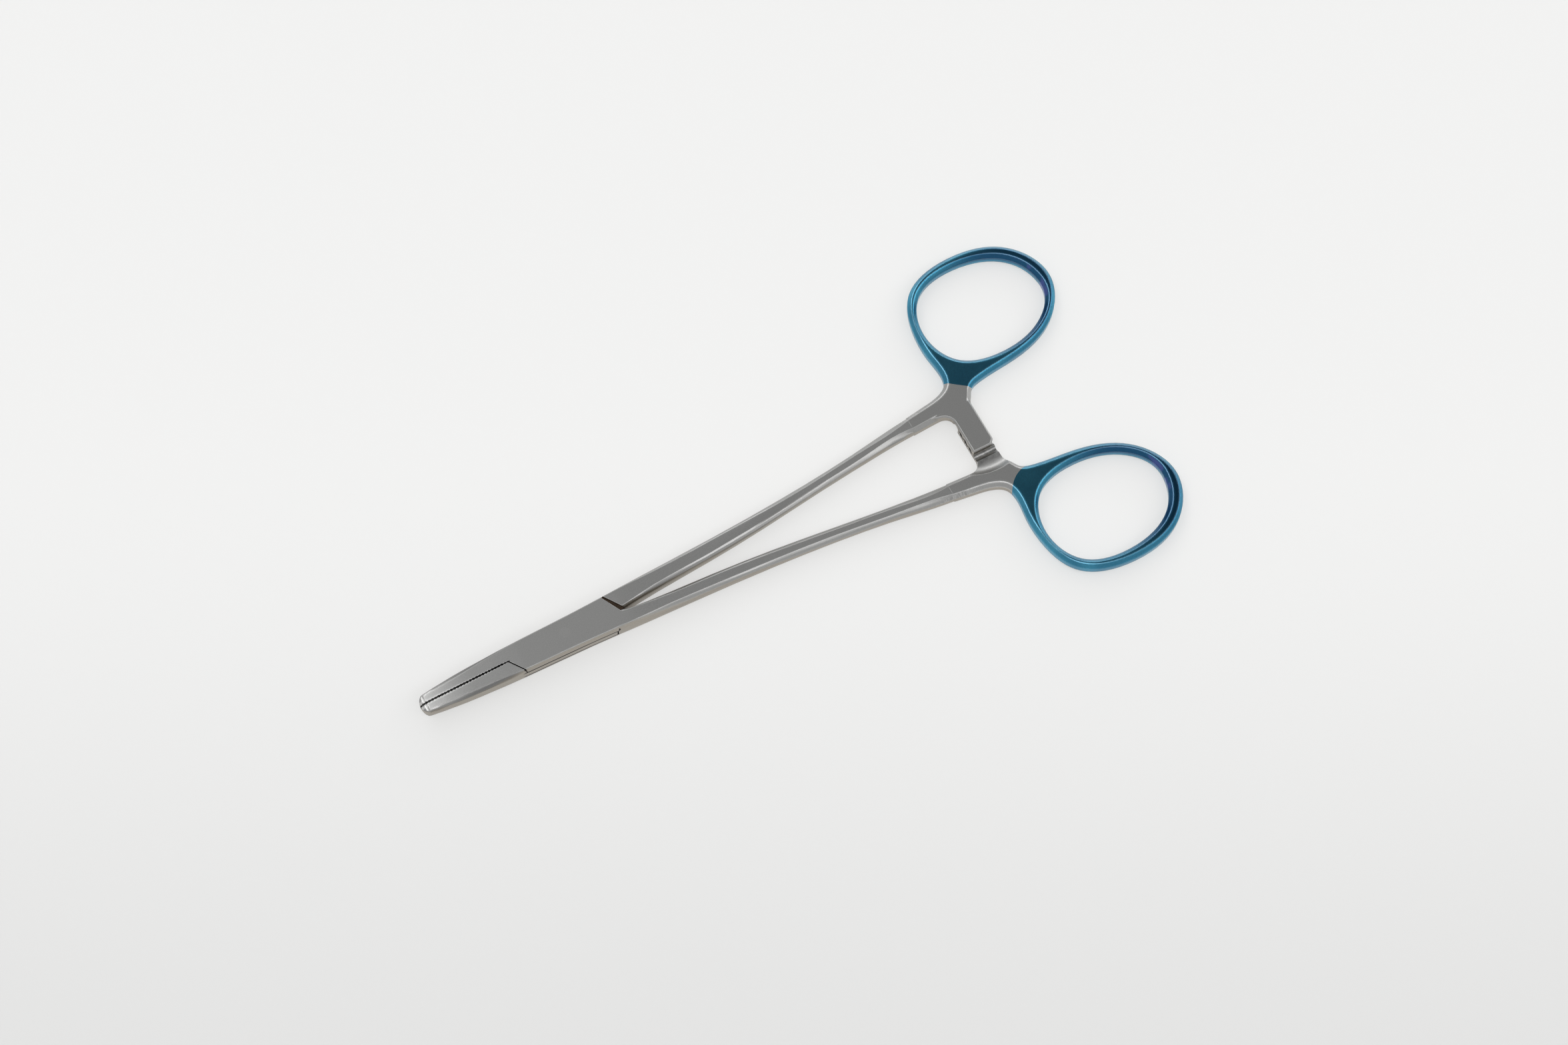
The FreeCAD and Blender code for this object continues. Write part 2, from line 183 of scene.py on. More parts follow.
class NodeSheet:
    """A material's or world's node tree, with short calls for the nodes that the finishes use."""

    def __init__(self, tree: bpy.types.NodeTree) -> None:
        """Empties the tree.

        Args:
            tree: The node tree to write in.
        """
        self.tree = tree
        self.tree.nodes.clear()

    def add(self, kind: str, **settings: object) -> bpy.types.Node:
        """Adds a node.

        Args:
            kind: The node's type name.
            settings: Properties of the node to set.

        Returns:
            The node.
        """
        node = self.tree.nodes.new(kind)
        for name, value in settings.items():
            setattr(node, name, value)
        return node

    def join(self, value: object, socket: Socket) -> None:
        """Links an output to a socket, or sets the socket when the value is plain.

        Args:
            value: An output socket, a number or a colour.
            socket: The input to feed.
        """
        if isinstance(value, Socket):
            self.tree.links.new(value, socket)
        else:
            socket.default_value = value

    def math(self, operation: str, first: object, second: object = 0.0, third: object = 0.0,
             clamp: bool = False) -> Socket:
        """A Math node's result.

        Args:
            operation: The operation's name.
            first: First value.
            second: Second value.
            third: Third value.
            clamp: Whether the result stays between 0 and 1.

        Returns:
            The output socket.
        """
        node = self.add("ShaderNodeMath", operation=operation, use_clamp=clamp)
        for index, value in enumerate((first, second, third)):
            self.join(value, node.inputs[index])
        return node.outputs[0]

    def ramp(self, value: object, low: float, high: float, start: float = 0.0, end: float = 1.0,
             smooth: bool = True) -> Socket:
        """A value mapped from one range to another and kept inside it.

        Args:
            value: The value to map.
            low: Where the result is start.
            high: Where the result is end.
            start: The result at low.
            end: The result at high.
            smooth: Whether the step between them is eased.

        Returns:
            The output socket.
        """
        kind = "SMOOTHSTEP" if smooth else "LINEAR"
        node = self.add("ShaderNodeMapRange", interpolation_type=kind, clamp=True)
        for index, number in enumerate((value, low, high, start, end)):
            self.join(number, node.inputs[index])
        return node.outputs[0]

    def between(self, value: object, low: float, high: float, edge: float) -> Socket:
        """1 where a value lies between two limits, with soft borders.

        Args:
            value: The value to test, in metres.
            low: Lower limit in millimetres.
            high: Upper limit in millimetres.
            edge: How wide each border is in millimetres.

        Returns:
            The output socket.
        """
        above = self.ramp(value, (low - edge) * MM, (low + edge) * MM)
        below = self.ramp(value, (high - edge) * MM, (high + edge) * MM, 1.0, 0.0)
        return self.math("MULTIPLY", above, below)

    def weighted(self, first: object, share: object, second: object, other_share: object) -> Socket:
        """The sum of two values, each times its own share."""
        rest = self.math("MULTIPLY", second, other_share)
        return self.math("ADD", self.math("MULTIPLY", first, share), rest)

    def distance(self, first: object, second: object) -> Socket:
        """How far a place lies from where both its coordinates are 0."""
        return self.math("SQRT", self.weighted(first, first, second, second))

    def all_of(self, *shares: object) -> Socket:
        """The product of several shares.

        Args:
            shares: The values to multiply.

        Returns:
            The output socket.
        """
        product = shares[0]
        for share in shares[1:]:
            product = self.math("MULTIPLY", product, share)
        return product

    def any_of(self, *shares: object) -> Socket:
        """The greatest of several shares.

        Args:
            shares: The values to compare.

        Returns:
            The output socket.
        """
        greatest = shares[0]
        for share in shares[1:]:
            greatest = self.math("MAXIMUM", greatest, share)
        return greatest

    def by_line(self, east: object, north: object, start: PlanPoint, end: PlanPoint,
                reach: float, tooth: float = 0.0, pitch: float = 0.6) -> Socket:
        """1 near a straight line in plan and 0 away from it.

        Args:
            east: X in metres.
            north: Y in metres.
            start: First end of the line in millimetres.
            end: Second end of the line in millimetres.
            reach: How far from the line it holds, in millimetres.
            tooth: How much farther it holds at the teeth along the line.
            pitch: The distance between two teeth.

        Returns:
            The output socket.
        """
        first, last = Vector(start), Vector(end)
        run = (last - first).normalized()
        off_east = self.math("SUBTRACT", east, first.x * MM)
        off_north = self.math("SUBTRACT", north, first.y * MM)
        along = self.weighted(off_east, run.x, off_north, run.y)
        aside = self.weighted(off_east, run.y, off_north, -run.x)
        wave = self.math("PINGPONG", along, pitch / 2 * MM)
        limit = self.math("MULTIPLY_ADD", wave, 2 * tooth / pitch, reach * MM)
        over = self.math("SUBTRACT", self.math("ABSOLUTE", aside), limit)
        beside = self.ramp(over, -0.02 * MM, 0.02 * MM, 1.0, 0.0)
        return self.math("MULTIPLY", beside, self.between(along, 0.0, (last - first).length, 0.1))

    def blend(self, share: object, first: object, second: object, way: str = "MIX") -> Socket:
        """Two colours mixed.

        Args:
            share: How much of the second.
            first: First colour.
            second: Second colour.
            way: The blend's name.

        Returns:
            The output socket.
        """
        node = self.add("ShaderNodeMix", data_type="RGBA", blend_type=way)
        self.join(share, node.inputs["Factor"])
        for value, socket in ((first, node.inputs[6]), (second, node.inputs[7])):
            self.join((*value, 1.0) if isinstance(value, tuple) else value, socket)
        return node.outputs[2]

    def grey(self, value: object) -> Socket:
        """A grey colour.

        Args:
            value: How light it is.

        Returns:
            The output socket.
        """
        node = self.add("ShaderNodeCombineColor")
        for socket in node.inputs:
            self.join(value, socket)
        return node.outputs[0]

    def shaded(self, share: object, colour: object, tone: object) -> Socket:
        """A colour made lighter or darker in part of the surface.

        Args:
            share: Where it changes, from 0 to 1.
            colour: The colour.
            tone: What it is multiplied by there.

        Returns:
            The output socket.
        """
        return self.blend(share, colour, self.blend(1.0, colour, self.grey(tone), "MULTIPLY"))

    def stretched(self, place: object, scale: tuple[float, float, float]) -> Socket:
        """Coordinates scaled along each axis, which draws a pattern out along the smaller ones.

        Args:
            place: The coordinates.
            scale: The scale along each axis.

        Returns:
            The output socket.
        """
        node = self.add("ShaderNodeVectorMath", operation="MULTIPLY")
        self.join(place, node.inputs[0])
        node.inputs[1].default_value = scale
        return node.outputs[0]

    def noise(self, place: object, size_mm: float, detail: float = 2.0) -> Socket:
        """A noise pattern with features of about one size.

        Args:
            place: The coordinates in metres.
            size_mm: The size of its features in millimetres.
            detail: How many finer layers it has.

        Returns:
            The output socket, around 0.5.
        """
        node = self.add("ShaderNodeTexNoise", noise_dimensions="3D")
        self.join(place, node.inputs["Vector"])
        node.inputs["Scale"].default_value = 1.0 / (size_mm * MM)
        node.inputs["Detail"].default_value = detail
        return node.outputs[0]


@dataclass(frozen=True)
class CoatEdge:
    """Where a ring's blue coat ends on the neck, in plan and in millimetres from the centre line.

    Args:
        start: First end of the edge.
        end: Second end of the edge.
        bulge: How far its middle bends towards the shank.
    """

    start: PlanPoint
    end: PlanPoint
    bulge: float


class SurfacePlace:
    """Where a point of a surface lies and how it faces, as sockets that every finish reads."""

    def __init__(self, sheet: NodeSheet, hand: Hand) -> None:
        """Splits the object coordinates and the object normal.

        Args:
            sheet: The node sheet to write in.
            hand: The side that the piece's handle is on.
        """
        source = sheet.add("ShaderNodeTexCoord")
        self.point = source.outputs["Object"]
        place = sheet.add("ShaderNodeSeparateXYZ")
        sheet.join(self.point, place.inputs[0])
        self.east, self.north, self.up = place.outputs
        self.facing = source.outputs["Normal"]
        facing = sheet.add("ShaderNodeSeparateXYZ")
        sheet.join(self.facing, facing.inputs[0])
        level = sheet.math("ABSOLUTE", facing.outputs[2])
        self.wall = sheet.ramp(level, 0.25, 0.6, 1.0, 0.0)
        self.slanted = sheet.all_of(sheet.ramp(level, 0.15, 0.35), sheet.ramp(level, 0.9, 0.98, 1.0, 0.0))
        self.outward = sheet.math("MULTIPLY", self.north, float(hand.value))


@dataclass(frozen=True)
class Crevice:
    """A joint line of the instrument in plan, in millimetres, drawn with painted shade.

    Args:
        start: First end of the line.
        end: Second end of the line.
        reach: How far to each side its walls are painted dark as shade.
        colour: The colour of the painted shade on its walls.
        with_floor: Whether its floor gets the painted shade too.
        rim: How far from the outer faces its walls are painted dark, or more than half the height for all
            of them.
        line: How far to each side the outer faces are painted dark as the gap's shade, or 0 where only its
            walls are.
        tooth: How much farther they are painted dark at its teeth.
    """

    start: PlanPoint
    end: PlanPoint
    reach: float
    colour: Colour = GAP_SHADE_COLOUR
    with_floor: bool = False
    rim: float = 9.0
    line: float = 0.0
    tooth: float = 0.0


@dataclass(frozen=True)
class BlueCoat:
    """The glossy blue coat of a ring, from its edge on the neck outwards.

    Args:
        edge: Where the coat ends.
        colour: Its colour.
        deep_and_shade: Its darker colour, in random clouds and as painted shade on the upper inner walls
            and on top.
        violet: The violet tint it takes in patches on the far inner walls, a painted reflection tint.
        roughness: Its roughness.
        pitting: How strongly the blasted grain shows through.
        gloss: How strong its clear outermost layer is.
        gloss_roughness: The roughness of that layer.
        gloss_index: How strongly that layer bends light.
        wear_and_painted_light: Its colour at the rounded edges, partly worn coat and partly a painted
            highlight.
        ring_x: The ring's centre along the instrument, in millimetres.
        ring_y: The ring's distance from the centre line.
        half_length: Half the ring's length, up to the middle of its section.
        half_width: Half its width, measured in the same way.
    """

    edge: CoatEdge
    colour: Colour = (0.065, 0.305, 0.455)
    deep_and_shade: Colour = (0.010, 0.07, 0.17)
    violet: Colour = (0.11, 0.12, 0.40)
    roughness: float = 0.17
    pitting: float = 0.04
    gloss: float = 0.12
    gloss_roughness: float = 0.12
    gloss_index: float = 1.7
    wear_and_painted_light: Colour = (0.50, 0.60, 0.63)
    ring_x: float = 110.7
    ring_y: float = 25.7
    half_length: float = 14.9
    half_width: float = 12.2

    def mask(self, sheet: NodeSheet, place: SurfacePlace) -> Socket:
        """1 where the coat is and 0 on bare steel.

        Args:
            sheet: The node sheet.
            place: The surface's place.

        Returns:
            The output socket.
        """
        start, end = Vector(self.edge.start), Vector(self.edge.end)
        middle = (start + end) / 2
        run = (end - start).normalized()
        out = Vector((-run.y, run.x))
        east = sheet.math("SUBTRACT", place.east, middle.x * MM)
        north = sheet.math("SUBTRACT", place.outward, middle.y * MM)
        beyond = sheet.weighted(east, out.x, north, out.y)
        beside = sheet.weighted(east, run.x, north, run.y)
        half = (end - start).length / 2 * MM
        share = sheet.math("MINIMUM", sheet.math("POWER", sheet.math("DIVIDE", beside, half), 2.0), 1.0)
        bend = sheet.math("MULTIPLY", sheet.math("SUBTRACT", 1.0, share), self.edge.bulge * MM)
        return sheet.ramp(sheet.math("ADD", beyond, bend), -0.05 * MM, 0.05 * MM)

    def paint(self, sheet: NodeSheet, place: SurfacePlace) -> Socket:
        """The coat's colour: deeper in random clouds, with painted shade on the upper inner walls and on
        top, and a violet painted reflection tint at the far end.

        Args:
            sheet: The node sheet.
            place: The surface's place.

        Returns:
            The output socket.
        """
        off_east = sheet.math("SUBTRACT", place.east, self.ring_x * MM)
        off_north = sheet.math("SUBTRACT", place.outward, self.ring_y * MM)
        east = sheet.math("DIVIDE", off_east, self.half_length * MM)
        north = sheet.math("DIVIDE", off_north, self.half_width * MM)
        inside = sheet.ramp(sheet.distance(east, north), 0.98, 1.02, 1.0, 0.0)
        # Painted shade: the upper inner walls, more towards the far end, and the top take the deeper
        # colour.
        high = sheet.ramp(place.up, 1.5 * MM, 2.8 * MM)
        cloud = sheet.ramp(sheet.noise(place.point, 9.0, 2.0), 0.35, 0.65, 0.0, 0.35)
        towards_end = sheet.ramp(east, -0.5, 0.5, 0.2, 0.9)
        top = sheet.all_of(sheet.ramp(place.up, 3.1 * MM, 3.7 * MM), sheet.ramp(east, -0.1, 0.7, 0.0, 0.85))
        shade = sheet.any_of(cloud, sheet.all_of(inside, high, towards_end), top)
        coat = sheet.blend(shade, self.colour, self.deep_and_shade)
        # Painted reflection tint: violet patches on the far inner walls.
        far = sheet.ramp(east, 0.7, 0.95)
        patches = sheet.ramp(sheet.noise(place.point, 3.0, 1.0), 0.5, 0.64, 0.0, 0.6)
        steep = sheet.math("SUBTRACT", 1.0, sheet.ramp(place.up, 3.3 * MM, 3.55 * MM))
        coat = sheet.blend(sheet.all_of(far, inside, patches, steep), coat, self.violet)
        fleck = sheet.ramp(sheet.noise(place.point, 0.35, 2.0), 0.3, 0.7, 0.93, 1.07, False)
        return sheet.blend(1.0, coat, sheet.grey(fleck), "MULTIPLY")


@dataclass(frozen=True)
class SteelFinish:
    """Bead-blasted stainless steel with painted shade in its joint lines, worn edges with painted
    highlights and shade, a painted reflection tint on its walls and, on a half, a coated ring.

    Lengths are in millimetres. A span has the lowest and the highest value.

    Args:
        name: The material's name.
        steel: Colour of the blasted steel.
        wall_reflection_tint: The painted reflection tint that the side walls' colour is multiplied by.
        roughness: Roughness of the blasted steel.
        pitting: How strong its grain is.
        crevices: The joint lines with painted shade.
        coat: The ring's coat, or None for a piece without one.
        hand: The side that the handle is on.
        height: The instrument's height.
        seams: Heights of the lines of painted shade along the box's near wall.
        seam_side: Distance of that wall from the centre line.
        seam_span: Where they lie along the instrument.
        seam_reach: Half the height of such a line.
        hook_span: Where the short upright end of the upper line lies along the instrument.
        hook_heights: Its height.
        edge_softness: How wide the edges are rounded.
        tip_softness: The same at the jaws' tips.
        ring_softness: The same at the rings.
        pin_y: The pin's place across the instrument. Its flush edge isn't rounded.
        tip_highlight: How much lighter the tops of the jaws' tips are painted, a painted highlight.
        tip_start: Where they start to lighten.
        tip_end: Where they are lightest.
        jaw_root: Where the painted shade on the jaws' rolled edges ends.
        jaw_edge_shade: How dark the painted shade on the rolled outer edges of the jaws is.
        handle_start: Where the rubbed edges of the necks and arms, with their painted highlight, start.
        rub_sheen_gain: How much lighter they are, partly rubbed steel and partly a painted highlight.
        worn_span: Where the shank's outer edge has fine cross marks.
        arm_span: Where the ratchet arm lies along the instrument.
        arm_root: How far from the centre line its milling ends.
        arm_floor: The height under which its underside is milled.
    """

    name: str
    steel: Colour = (0.392, 0.392, 0.386)
    wall_reflection_tint: Colour = (0.99, 0.91, 0.81)
    roughness: float = 0.36
    pitting: float = 0.25
    crevices: tuple[Crevice, ...] = ()
    coat: BlueCoat | None = None
    hand: Hand = Hand.UPPER
    height: float = 4.2
    seams: tuple[float, ...] = (2.77, 1.21)
    seam_side: float = -3.3
    seam_span: Span = (-11.0, 10.1)
    seam_reach: float = 0.2
    hook_span: Span = (10.02, 10.24)
    hook_heights: Span = (2.75, 3.55)
    edge_softness: float = 0.12
    tip_softness: float = 0.6
    ring_softness: float = 0.7
    pin_y: float = 0.3
    tip_highlight: float = 1.6
    tip_start: float = -20.0
    tip_end: float = -31.5
    jaw_root: Span = (-14.0, -9.0)
    jaw_edge_shade: float = 0.55
    handle_start: Span = (84.0, 89.0)
    rub_sheen_gain: float = 1.5
    worn_span: Span = (45.0, 88.0)
    arm_span: Span = (91.2, 98.2)
    arm_root: Span = (5.2, 6.6)
    arm_floor: Span = (3.2, 3.45)

    def from_to(self, sheet: NodeSheet, value: object, span: Span, start: float, end: float) -> Socket:
        """A value mapped from a span in millimetres to a start and an end."""
        return sheet.ramp(value, span[0] * MM, span[1] * MM, start, end)

    def blasted(self, sheet: NodeSheet, place: SurfacePlace, grain: object) -> Socket:
        """The blasted steel's colour, with a painted highlight on the tops of the jaws' tips and a painted
        reflection tint on the walls.

        Args:
            sheet: The node sheet.
            place: The surface's place.
            grain: The blasting's fine pattern.

        Returns:
            The output socket.
        """
        # Painted highlight: the top faces grow lighter towards the jaws' tips.
        painted_tip_highlight = self.from_to(sheet, place.east, (self.tip_end, self.tip_start), self.tip_highlight, 1.0)
        painted_tip_highlight = sheet.ramp(place.wall, 0.0, 1.0, painted_tip_highlight, 1.0, False)
        tone = sheet.math("MULTIPLY", sheet.ramp(grain, 0.3, 0.7, 0.93, 1.07, False), painted_tip_highlight)
        colour = sheet.blend(1.0, self.steel, sheet.grey(tone), "MULTIPLY")
        # Painted reflection: the side walls take a warm tint.
        return sheet.blend(place.wall, colour, sheet.blend(1.0, colour, self.wall_reflection_tint, "MULTIPLY"))

    def milled(self, sheet: NodeSheet, place: SurfacePlace) -> Socket:
        """1 on the roughly milled walls and underside of the ratchet arm and 0 elsewhere.

        Args:
            sheet: The node sheet.
            place: The surface's place.

        Returns:
            The output socket.
        """
        along_arm = sheet.between(place.east, *self.arm_span, 0.3)
        inwards = self.from_to(sheet, place.outward, self.arm_root, 1.0, 0.0)
        underside = self.from_to(sheet, place.up, self.arm_floor, 1.0, 0.0)
        return sheet.all_of(along_arm, inwards, sheet.any_of(place.wall, underside))

    def wear_and_painted_light(self, sheet: NodeSheet, place: SurfacePlace, colour: object, turned: object) -> Socket:
        """The steel's colour with painted shade on the jaws' rolled edges, rubbed handle edges with a
        painted highlight, cross marks and milling.

        Args:
            sheet: The node sheet.
            place: The surface's place.
            colour: The steel's colour.
            turned: How much the rounding of the edges turns the surface.

        Returns:
            The output socket.
        """
        off_line = sheet.ramp(sheet.math("ABSOLUTE", place.north), 0.7 * MM, 1.0 * MM)
        jaw = self.from_to(sheet, place.east, self.jaw_root, 1.0, 0.0)
        edge = sheet.any_of(sheet.ramp(turned, 0.004, 0.08), place.slanted)
        # Painted shade: the rounded and slanted outer edges of the jaws are darkened.
        colour = sheet.shaded(sheet.all_of(edge, jaw, off_line), colour, self.jaw_edge_shade)
        handle = self.from_to(sheet, place.east, self.handle_start, 0.0, 1.0)
        # Rubbed steel and painted highlight: the rounded edges of the necks and arms are lightened.
        rub_and_sheen = sheet.all_of(sheet.ramp(turned, 0.01, 0.06), handle)
        colour = sheet.shaded(rub_and_sheen, colour, self.rub_sheen_gain)
        marks = sheet.noise(sheet.stretched(place.point, (1.0, 0.12, 0.12)), 0.22, 1.0)
        marked = sheet.all_of(place.slanted, sheet.between(place.east, *self.worn_span, 4.0),
                              sheet.ramp(place.outward, 9.5 * MM, 10.0 * MM))
        colour = sheet.shaded(marked, colour, sheet.ramp(marks, 0.35, 0.65, 0.82, 1.3, False))
        rough = sheet.ramp(sheet.noise(place.point, 0.9, 3.0), 0.35, 0.65, 0.62, 1.0, False)
        return sheet.shaded(self.milled(sheet, place), colour, rough)

    def hatched(self, sheet: NodeSheet, place: SurfacePlace) -> Socket:
        """The gripping faces' colour: two crossed rows of fine grooves in shaded steel.

        Args:
            sheet: The node sheet.
            place: The surface's place.

        Returns:
            The output socket.
        """
        first = sheet.math("PINGPONG", sheet.math("ADD", place.east, place.up), 0.3 * MM)
        second = sheet.math("PINGPONG", sheet.math("SUBTRACT", place.east, place.up), 0.3 * MM)
        tone = sheet.ramp(sheet.math("MINIMUM", first, second), 0.02 * MM, 0.16 * MM, 0.25, 0.85)
        return sheet.blend(1.0, self.steel, sheet.grey(tone), "MULTIPLY")

    def joint(self, sheet: NodeSheet, place: SurfacePlace, colour: object, crevice: Crevice) -> Socket:
        """The steel's colour with the painted shade of one joint line.

        Args:
            sheet: The node sheet.
            place: The surface's place.
            colour: The steel's colour.
            crevice: The joint line.

        Returns:
            The output socket.
        """
        ends = (crevice.start, crevice.end)
        dark = sheet.by_line(place.east, place.north, *ends, crevice.reach)
        hidden = place.wall
        if crevice.with_floor:
            hidden = sheet.any_of(hidden, sheet.between(place.up, 0.7, 3.5, 0.03))
        if crevice.rim < self.height / 2:
            colour = sheet.blend(sheet.all_of(dark, hidden), colour, self.hatched(sheet, place))
            inner = sheet.between(place.up, crevice.rim, self.height - crevice.rim, 0.15)
            hidden = sheet.math("SUBTRACT", hidden, inner, clamp=True)
        # Painted shade: the gap's walls and, where asked, its floor are painted dark.
        colour = sheet.blend(sheet.all_of(dark, hidden), colour, crevice.colour)
        # Painted shade: a dark line on the outer faces along the gap, toothed at the jaws.
        if crevice.line > 0.0:
            drawn = sheet.by_line(place.east, place.north, *ends, crevice.line, crevice.tooth)
            colour = sheet.blend(drawn, colour, crevice.colour)
        return colour

    def near_wall(self, sheet: NodeSheet, place: SurfacePlace, colour: object) -> Socket:
        """The steel's colour with lines of painted shade along the box's near wall, where the tongue shows
        in its slot.

        Args:
            sheet: The node sheet.
            place: The surface's place.
            colour: The steel's colour.

        Returns:
            The output socket.
        """
        side = self.seam_side
        wall = sheet.all_of(self.from_to(sheet, place.north, (side - 0.1, side), 1.0, 0.0),
                            sheet.between(place.east, *self.seam_span, 0.4))
        fades = sheet.ramp(place.east, -4.0 * MM, 10.0 * MM, 0.98, 0.8)
        # Painted shade: dark lines at the seams of the slot and at the short upright end of the upper one.
        for height in self.seams:
            line = sheet.between(place.up, height - self.seam_reach, height + self.seam_reach, 0.06)
            colour = sheet.blend(sheet.all_of(wall, line, fades), colour, GAP_SHADE_COLOUR)
        hook = sheet.all_of(self.from_to(sheet, place.north, (side - 0.3, side - 0.2), 1.0, 0.0),
                            sheet.between(place.east, *self.hook_span, 0.03),
                            sheet.between(place.up, *self.hook_heights, 0.05))
        return sheet.blend(hook, colour, GAP_SHADE_COLOUR)

    def paint(self, sheet: NodeSheet, place: SurfacePlace, grain: object, turned: object) -> Socket:
        """The bare steel's colour with the painted reflection tint on its walls, painted shade in its joint
        lines and worn edges with painted light.

        Args:
            sheet: The node sheet.
            place: The surface's place.
            grain: The blasting's fine pattern.
            turned: How much the rounding of the edges turns the surface.

        Returns:
            The output socket.
        """
        colour = self.wear_and_painted_light(sheet, place, self.blasted(sheet, place, grain), turned)
        for crevice in self.crevices:
            colour = self.joint(sheet, place, colour, crevice)
        return self.near_wall(sheet, place, colour)

    def softness(self, sheet: NodeSheet, place: SurfacePlace) -> Socket:
        """How wide the edges are rounded: most at the jaws' tips and at the rings.

        Args:
            sheet: The node sheet.
            place: The surface's place.

        Returns:
            The output socket, in metres.
        """
        box = self.edge_softness * MM
        jaws = self.from_to(sheet, place.east, (-30.0, -10.0), self.tip_softness * MM, box)
        rings = self.from_to(sheet, place.outward, (8.5, 11.0), 0.0, self.ring_softness * MM - box)
        aside = sheet.math("SUBTRACT", place.north, self.pin_y * MM)
        off_pin = self.from_to(sheet, sheet.distance(place.east, aside), (1.2, 1.5), 0.0, 1.0)
        return sheet.math("MULTIPLY", sheet.math("ADD", jaws, rings), off_pin)

    def bend(self, sheet: NodeSheet, place: SurfacePlace, round_edges: bpy.types.Node) -> Socket:
        """How much the rounding of the edges turns the surface: 0 on flat and smooth parts.

        Args:
            sheet: The node sheet.
            place: The surface's place.
            round_edges: The node that rounds the edges.

        Returns:
            The output socket.
        """
        turned = sheet.add("ShaderNodeVectorTransform", vector_type="NORMAL", convert_from="WORLD",
                           convert_to="OBJECT")
        sheet.join(round_edges.outputs[0], turned.inputs[0])
        same = sheet.add("ShaderNodeVectorMath", operation="DOT_PRODUCT")
        sheet.join(turned.outputs[0], same.inputs[0])
        sheet.join(place.facing, same.inputs[1])
        return sheet.math("SUBTRACT", 1.0, same.outputs["Value"])

    def put_coat(self, sheet: NodeSheet, place: SurfacePlace, shader: bpy.types.Node, pits: bpy.types.Node,
                 steel: object, turned: object) -> Socket:
        """Lays the ring's coat over the steel.

        Args:
            sheet: The node sheet.
            place: The surface's place.
            shader: The shader, which gets its roughness and its clear layer here.
            pits: The node of the grain, which gets its strength here.
            steel: The steel's colour.
            turned: How much the rounding of the edges turns the surface.

        Returns:
            The colour of both.
        """
        mask = self.coat.mask(sheet, place)
        # Worn coat and painted highlight: the rounded edges are lightened towards the worn colour.
        rub_and_sheen = sheet.ramp(turned, 0.03, 0.16, 0.0, 0.5)
        coat = sheet.blend(rub_and_sheen, self.coat.paint(sheet, place), self.coat.wear_and_painted_light)
        rough = sheet.ramp(mask, 0.0, 1.0, self.roughness, self.coat.roughness, False)
        sheet.join(rough, shader.inputs["Roughness"])
        sheet.join(sheet.math("MULTIPLY", mask, self.coat.gloss), shader.inputs["Coat Weight"])
        shader.inputs["Coat Roughness"].default_value = self.coat.gloss_roughness
        shader.inputs["Coat IOR"].default_value = self.coat.gloss_index
        pitting = sheet.ramp(mask, 0.0, 1.0, self.pitting, self.coat.pitting, False)
        sheet.join(pitting, pits.inputs["Strength"])
        return sheet.blend(mask, steel, coat)

    def make(self) -> bpy.types.Material:
        """Builds the material.

        Returns:
            The material.
        """
        material = bpy.data.materials.new(self.name)
        material.use_nodes = True
        sheet = NodeSheet(material.node_tree)
        output = sheet.add("ShaderNodeOutputMaterial")
        shader = sheet.add("ShaderNodeBsdfPrincipled")
        shader.inputs["Metallic"].default_value = 1.0
        sheet.join(shader.outputs[0], output.inputs["Surface"])
        place = SurfacePlace(sheet, self.hand)
        round_edges = sheet.add("ShaderNodeBevel", samples=8)
        sheet.join(self.softness(sheet, place), round_edges.inputs["Radius"])
        grain = sheet.noise(place.point, 0.2, 2.0)
        pits = sheet.add("ShaderNodeBump")
        pits.inputs["Distance"].default_value = 0.01 * MM
        sheet.join(round_edges.outputs[0], pits.inputs["Normal"])
        sheet.join(grain, pits.inputs["Height"])
        sheet.join(pits.outputs[0], shader.inputs["Normal"])
        turned = self.bend(sheet, place, round_edges)
        colour = self.paint(sheet, place, grain, turned)
        if self.coat is None:
            shader.inputs["Roughness"].default_value = self.roughness
            pits.inputs["Strength"].default_value = self.pitting
        else:
            colour = self.put_coat(sheet, place, shader, pits, colour, turned)
        sheet.join(colour, shader.inputs["Base Color"])
        return material


@dataclass(frozen=True)
class Groove:
    """A small groove that is filled flush, in millimetres.

    Args:
        start: Where it starts along the instrument.
        end: Where it ends.
        low_side: Its lower limit across the instrument.
        high_side: Its upper limit.
        depth: The greatest depth of its corners under the flat face.
    """

    start: float = 9.9
    end: float = 12.05
    low_side: float = -1.1
    high_side: float = -0.58
    depth: float = 0.8

    def holds(self, along: float, across: float, depth: float) -> bool:
        """Whether a corner belongs to the groove."""
        in_plan = self.start < along < self.end + 0.01 and self.low_side < across < self.high_side
        return in_plan and depth < self.depth


